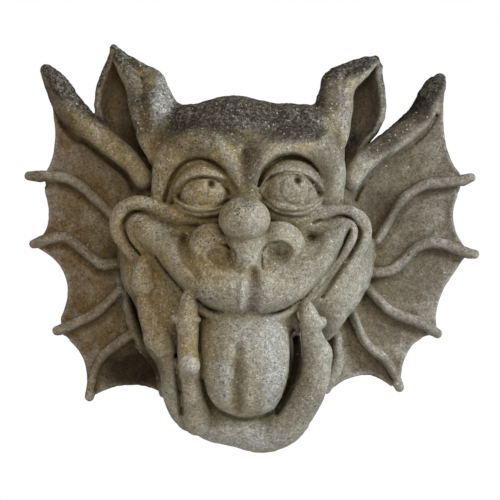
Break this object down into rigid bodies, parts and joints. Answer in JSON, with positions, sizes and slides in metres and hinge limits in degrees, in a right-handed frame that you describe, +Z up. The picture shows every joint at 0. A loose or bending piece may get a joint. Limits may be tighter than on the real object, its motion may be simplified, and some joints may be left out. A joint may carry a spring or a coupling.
{
  "type": "stone gargoyle",
  "caption": "Cast stone wall mask: a grinning grotesque with pointed ears, scalloped bat wings and a long tongue resting in a clawed hand.",
  "frame": {"origin": "on the flat back, in the wall plane, behind the middle of the face", "axes": "+Y into the wall, square to the flat back; +X to the mask's right as seen from the front; +Z up"},
  "size_m": [0.4847, 0.1895, 0.4363],
  "materials": {
    "weathered_stone": "matt weathered cast stone with pale aggregate, dark lichen on top and brown dirt in the creases"
  },
  "bodies": {
    "root": {"gargoyle": "weathered_stone"}
  },
  "joints": []
}
